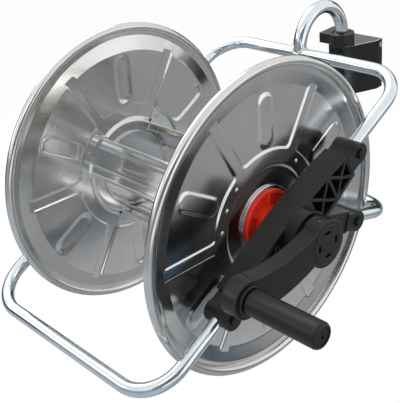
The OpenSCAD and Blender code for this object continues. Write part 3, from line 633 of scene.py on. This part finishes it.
def soften(node, width, fold=0.0):
    """Replaces a node by its own shape with rounded edges, and rounded folds if fold is set."""
    form = bmesh.new()
    form.from_mesh(NODES[node].data)
    bmesh.ops.remove_doubles(form, verts=form.verts, dist=SAME_POINT)
    bmesh.ops.dissolve_limit(
        form, angle_limit=radians(FLAT_TURN), verts=form.verts, edges=form.edges,
    )
    surface = BVHTree.FromBMesh(form)
    if fold:
        round_edges(form, FOLD_TURN, EDGE_TURN, fold, FOLD_SEGMENTS)
    round_edges(form, EDGE_TURN, FULL_TURN, width, EDGE_SEGMENTS)
    hold_to_surface(form, surface, max(width, fold))
    mesh = take_mesh(form, node + "_soft")
    shade(mesh, SMOOTH_FOLD_TURN if fold else SMOOTH_TURN)
    piece = place_piece(node + "_soft", mesh, node)
    normals = piece.modifiers.new("weighted", "WEIGHTED_NORMAL")
    normals.weight = 100
    normals.keep_sharp = True
    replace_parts(piece, node)


def spacer_names():
    return ["spacer_%d" % (index + 1) for index in range(SPACER_COUNT)]


def soften_nodes():
    for node, width in EDGE_WIDTHS.items():
        soften(node, width)
    for node in spacer_names():
        soften(node, SPACER_EDGE_WIDTH, SPACER_FOLD_WIDTH)


# Tubes

def add_tube(form, path, radius, wall, sides):
    """Adds a tube along a path to a bmesh, with its bore open at both ends."""
    outer, inner = [], []
    side = None
    for i, point in enumerate(path):
        along = (path[min(i + 1, len(path) - 1)] - path[max(i - 1, 0)]).normalized()
        if side is None:
            side = along.orthogonal().normalized()
        side = (side - along * side.dot(along)).normalized()
        other = along.cross(side)
        for r, skin in ((radius, outer), (radius - wall, inner)):
            skin.append([
                form.verts.new(point + r * (cos(t) * side + sin(t) * other))
                for t in (2 * pi * k / sides for k in range(sides))
            ])
    for i in range(len(path) - 1):
        for k in range(sides):
            n = (k + 1) % sides
            form.faces.new((outer[i][k], outer[i][n], outer[i + 1][n], outer[i + 1][k]))
            form.faces.new((inner[i][k], inner[i + 1][k], inner[i + 1][n], inner[i][n]))
    for end in (0, -1):
        for k in range(sides):
            n = (k + 1) % sides
            form.faces.new((outer[end][k], outer[end][n], inner[end][n], inner[end][k]))


def sweep(name, path, radius, wall, sides=TUBE_SIDES):
    form = bmesh.new()
    add_tube(form, path, radius, wall, sides)
    mesh = closed_mesh(form, name)
    shade(mesh)
    return mesh


def line(a, b, steps):
    return [a.lerp(b, i / steps) for i in range(steps + 1)]


def u_path(node, angle):
    """Centre line of a bent frame tube, from its own box and slope."""
    lo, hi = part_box(node)
    out = Vector((0, cos(radians(angle)), sin(radians(angle))))
    reaches = [(Vector(v.co) - AXIS).dot(out) for v in NODES[node].data.vertices]
    reach, start = max(reaches) - TUBE_R, min(reaches)
    leg = (hi.x - lo.x) / 2 - TUBE_R
    points = []
    for side in (1, -1):
        corner = AXIS + Vector((side * (leg - BEND_R), 0, 0)) + out * (reach - BEND_R)
        foot = AXIS + Vector((side * leg, 0, 0)) + out * start
        bend = [
            corner + BEND_R * (cos(t) * Vector((side, 0, 0)) + sin(t) * out)
            for t in (pi / 2 * k / BEND_STEPS for k in range(BEND_STEPS + 1))
        ]
        half = line(foot, bend[0], LEG_STEPS)[:-1] + bend
        points += half if side == 1 else half[::-1]
    return points


def add_frame_tubes():
    tilts = {
        "upper_frame_tube": FRAME_TILT,
        "front_frame_tube": FRAME_TILT + 180,
        "lower_frame_tube": LOWER_TILT,
    }
    for node, angle in tilts.items():
        mesh = sweep(node + "_bent", u_path(node, angle), TUBE_R, TUBE_WALL)
        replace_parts(place_piece(node + "_bent", mesh, node), node)


def add_hook():
    bend = (SWIVEL_Y - WELD_Y) / 2
    arc_y = (SWIVEL_Y + WELD_Y) / 2
    top = HOOK_HI.z - HOOK_R - bend
    foot = Vector((HOOK_X, SWIVEL_Y, HOOK_LO.z))
    path = line(foot, Vector((HOOK_X, SWIVEL_Y, top)), SHANK_STEPS)[:-1]
    path += [
        Vector((HOOK_X, arc_y + bend * cos(t), top + bend * sin(t)))
        for t in (pi * k / ARC_STEPS for k in range(ARC_STEPS + 1))
    ]
    path.append(Vector((HOOK_X, WELD_Y, BAR_Z + HOOK_SEAT)))
    mesh = sweep("swivel_hook_bent", path, HOOK_R, HOOK_WALL)
    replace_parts(place_piece("swivel_hook_bent", mesh, "swivel_hook"), "swivel_hook")


def add_weld_bead():
    """Rippled bead where the hook stands on the upper crossbar."""
    path = []
    for k in range(WELD_STEPS + 1):
        t = 2 * pi * k / WELD_STEPS
        along, across = HOOK_R * cos(t), HOOK_R * sin(t)
        rise = sqrt(max(TUBE_R ** 2 - across ** 2, WELD_LEAST_RISE ** 2))
        ripple = 1 + RIPPLE_SHARE * sin(RIPPLE_COUNT * t)
        path.append(Vector((HOOK_X + along * ripple, WELD_Y + across * ripple, BAR_Z + rise)))
    mesh = sweep("hook_weld_bead", path, WELD_R, WELD_R / 2, WELD_SIDES)
    place_piece("hook_weld_bead", mesh, "swivel_hook", "bright_steel")


# Pressed discs

# Radius and depth of the sheet without its panels
PROFILE = [
    (HUB_HOLE_R, -DISH), (STEP_R - STEP_IN, -DISH), (STEP_R + STEP_OUT, -WEB),
    (BAND_R - (WEB - BAND) / CONE_SLOPE, -WEB), (BAND_R, -BAND), (DISC_R, -BAND),
]

# Radii of the mesh lines, in millimetres here, close together where the sheet bends
FACE_RADII = [v / 1000 for v in (
    38.05, 42, 48, 55, 60, 62.5, 63.6, 64.6, 65.6, 66.5, 67.4, 68.6, 71, 75, 79, 82, 84, 85, 86,
    87, 88, 89.5, 91, 92.5, 94.5, 97, 100, 104, 110, 117, 124, 131, 138, 142, 145.5, 148.5, 150.5,
    152, 153.5, 155, 155.8, 156.5, 157.2, 158, 159.2, 160.4, 161.4, 162.2, 163, 163.8, 165, 167,
    169, 171, 172.5, 173.4, 174, 174.6, 175.4, 177.5,
)]

# Distances of the mesh lines from a dimple's middle and from a spoke's middle
DIMPLE_LINES = (0.0, 0.004, 0.007, 0.0083, 0.0094, 0.0105, 0.0116, 0.0128, 0.0140)
SPOKE_LINES = (0.0120, 0.0100, 0.0085, 0.0075, 0.0065, 0.0055, 0.0035, 0.0)
STEPS_BETWEEN = 6
LEAST_LINES_R = 0.080


def smooth_step(value, half):
    t = min(max((value + half) / (2 * half), 0.0), 1.0)
    return t * t * (3 - 2 * t)


def round_min(a, b, k):
    """The smaller of two values, with a rounded change from one to the other."""
    h = max(k - abs(a - b), 0.0) / k
    return min(a, b) - h * h * k / 4


def profile_depth(r):
    for (r0, h0), (r1, h1) in zip(PROFILE, PROFILE[1:]):
        if r <= r1:
            return h0 + (h1 - h0) * max(r - r0, 0) / (r1 - r0)
    return PROFILE[-1][1]


def panel_floor(r):
    """Depth of a panel's floor, which runs out into the cone inside the rim."""
    cone = -BAND - max(BAND_R - r, 0) * CONE_SLOPE
    return max(-WEB - PANEL_DEPTH, cone)


def softly(depth, r):
    """Depth around a radius, averaged so that the bends are round."""
    return sum(depth(r + k * PROFILE_SOFT) for k in (-1, -0.5, 0, 0.5, 1)) / 5


def sheet_wave(r, angle):
    """Slight unevenness of the pressed sheet."""
    slow = SLOW_WAVE * sin(radians(3 * angle + 40)) * sin(r * 55)
    fast = FAST_WAVE * sin(radians(5 * angle)) * cos(r * 80)
    return slow + fast


def face_depth(r, angle):
    """Depth of a disc's sheet behind the rim plane, with its panels and dimples."""
    local = (angle - DIMPLE_ANGLE + SECTOR / 2) % SECTOR - SECTOR / 2
    spoke = r * sin(radians(SECTOR / 2 - abs(local))) - SPOKE_HALF
    panel = smooth_step(round_min(spoke, r - PANEL_INNER_R, PANEL_CORNER), PANEL_SOFT)
    along, across = r * cos(radians(local)), r * sin(radians(local))
    first = PANEL_INNER_R + DIMPLE_MARGIN + DIMPLE_HALF
    last = PANEL_R - DIMPLE_MARGIN - DIMPLE_HALF
    aside = hypot(across, max(first - along, 0, along - last)) - DIMPLE_HALF
    dimple = smooth_step(aside, DIMPLE_SOFT)
    base = softly(profile_depth, r)
    return base + panel * dimple * (softly(panel_floor, r) - base) + sheet_wave(r, angle)


def face_angles(r):
    """Angles of the mesh lines at a radius: they follow the dimples and spokes."""
    r = max(r, LEAST_LINES_R)
    half = [asin(d / r) for d in DIMPLE_LINES]
    edge = [radians(SECTOR / 2) - asin(d / r) for d in SPOKE_LINES]
    gap = edge[0] - half[-1]
    half += [half[-1] + gap * k / STEPS_BETWEEN for k in range(1, STEPS_BETWEEN)] + edge
    turns = [a * 180 / pi for a in half]
    sector = [-a for a in turns[:0:-1]] + turns[:-1]
    count = round(360 / SECTOR)
    return [DIMPLE_ANGLE + SECTOR * i + a for i in range(count) for a in sector]


def disc_rings():
    """Closed section of a disc: radius, depth or None on the sheet, and thickness behind it."""
    rows = [(r, None, 0) for r in FACE_RADII]
    for k in range(BEAD_STEPS + 1):
        t = radians(BEAD_FROM - k * (BEAD_FROM - BEAD_TO) / BEAD_STEPS)
        rows.append((BEAD_MID_R + BEAD_R * cos(t), BEAD_R * sin(t), 0))
    rows += [(r, None, DISC_T) for r in reversed(FACE_RADII)]
    return rows


def pressed_disc(node, side):
    """Replaces a disc by a smooth pressed one; side is 1 at the crank and -1 at the inlet."""
    form = bmesh.new()
    rings = []
    for r, depth, thickness in disc_rings():
        ring = []
        for angle in face_angles(r):
            h = face_depth(r, angle) - thickness if depth is None else depth
            t = radians(angle)
            spot = Vector((side * (RIM_X + h), r * cos(t), r * sin(t)))
            ring.append(form.verts.new(AXIS + spot))
        rings.append(ring)
    for a, b in zip(rings, rings[1:] + rings[:1]):
        for k in range(len(a)):
            n = (k + 1) % len(a)
            form.faces.new((a[k], a[n], b[n], b[k]))
    mesh = closed_mesh(form, node + "_pressed")
    shade(mesh, SMOOTH_DISC_TURN)
    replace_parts(place_piece(node + "_pressed", mesh, node), node)


# Trim

def add_spacer_folds():
    """Rounded folds and hemmed edges along each strip."""
    half = Vector((RIM_X - DISH - 2 * DISC_T, 0, 0))
    for index, node in enumerate(spacer_names()):
        turn = radians(DIMPLE_ANGLE + SPACER_TURN * index)
        out = Vector((0, cos(turn), sin(turn)))
        across = Vector((0, -sin(turn), cos(turn)))
        form = bmesh.new()
        for reach, aside in ((SPACER_REACH, SPACER_WEB_HALF), (SPACER_TOP, SPACER_HALF)):
            for side in (1, -1):
                middle = AXIS + out * (reach - FOLD_SINK) + across * side * aside
                path = line(middle - half, middle + half, FOLD_STEPS)
                add_tube(form, path, FOLD_R, FOLD_R / 2, FOLD_SIDES)
        mesh = closed_mesh(form, node + "_folds")
        shade(mesh)
        place_piece(node + "_folds", mesh, node)


def cut_inside(point):
    """The point on the inner side of the housing's sheet, across from one on its outside."""
    aside = CUT_SIDE if point.x > 0 else -CUT_SIDE
    ahead = -CUT_FRONT if point.y < -CUT_WALL_GAP else 0
    return point - Vector((aside, ahead, 0))


def add_housing_edge():
    """Bare cut edge of the housing's sheet, along its top."""
    spots = [v.co for v in NODES["swivel_housing"].data.vertices]
    top = max(p.z for p in spots)
    half = max(p.x for p in spots)
    front = min(p.y for p in spots)
    nose = max(p.x for p in spots if p.y < front + CUT_REACH)
    bend = min(p.y for p in spots if p.x > half - CUT_REACH)
    run = [(half, 0.0), (half, bend), (nose, front)]
    run += [(-x, y) for x, y in reversed(run)]
    outer = [Vector((x, y, top)) for x, y in run]
    inner = [cut_inside(p) for p in outer]
    lift = Vector((0, 0, CUT_LIFT))
    form = bmesh.new()
    low_out, low_in, top_out, top_in = [
        [form.verts.new(p) for p in row]
        for row in (outer, inner, [p + lift for p in outer], [p + lift for p in inner])
    ]
    for k in range(len(run) - 1):
        n = k + 1
        form.faces.new((top_out[k], top_out[n], top_in[n], top_in[k]))
        form.faces.new((low_out[k], low_out[n], top_out[n], top_out[k]))
        form.faces.new((low_in[n], low_in[k], top_in[k], top_in[n]))
        form.faces.new((low_out[n], low_out[k], low_in[k], low_in[n]))
    for k in (0, -1):
        form.faces.new((low_out[k], low_in[k], top_in[k], top_out[k]))
    mesh = closed_mesh(form, "housing_cut_edge")
    place_piece("housing_cut_edge", mesh, "swivel_housing", "bright_steel")


def paint_nodes():
    for node, obj in NODES.items():
        obj.data.materials.clear()
        obj.data.materials.append(MATERIALS[SLOT_OF[node]])


add_camera()
add_world()
add_floor()
add_studio()
paint_nodes()
pressed_disc("crank_disc", 1)
pressed_disc("inlet_disc", -1)
add_frame_tubes()
add_hook()
add_weld_bead()
soften_nodes()
add_housing_edge()
add_spacer_folds()
bpy.context.scene.view_settings.view_transform = "Standard"
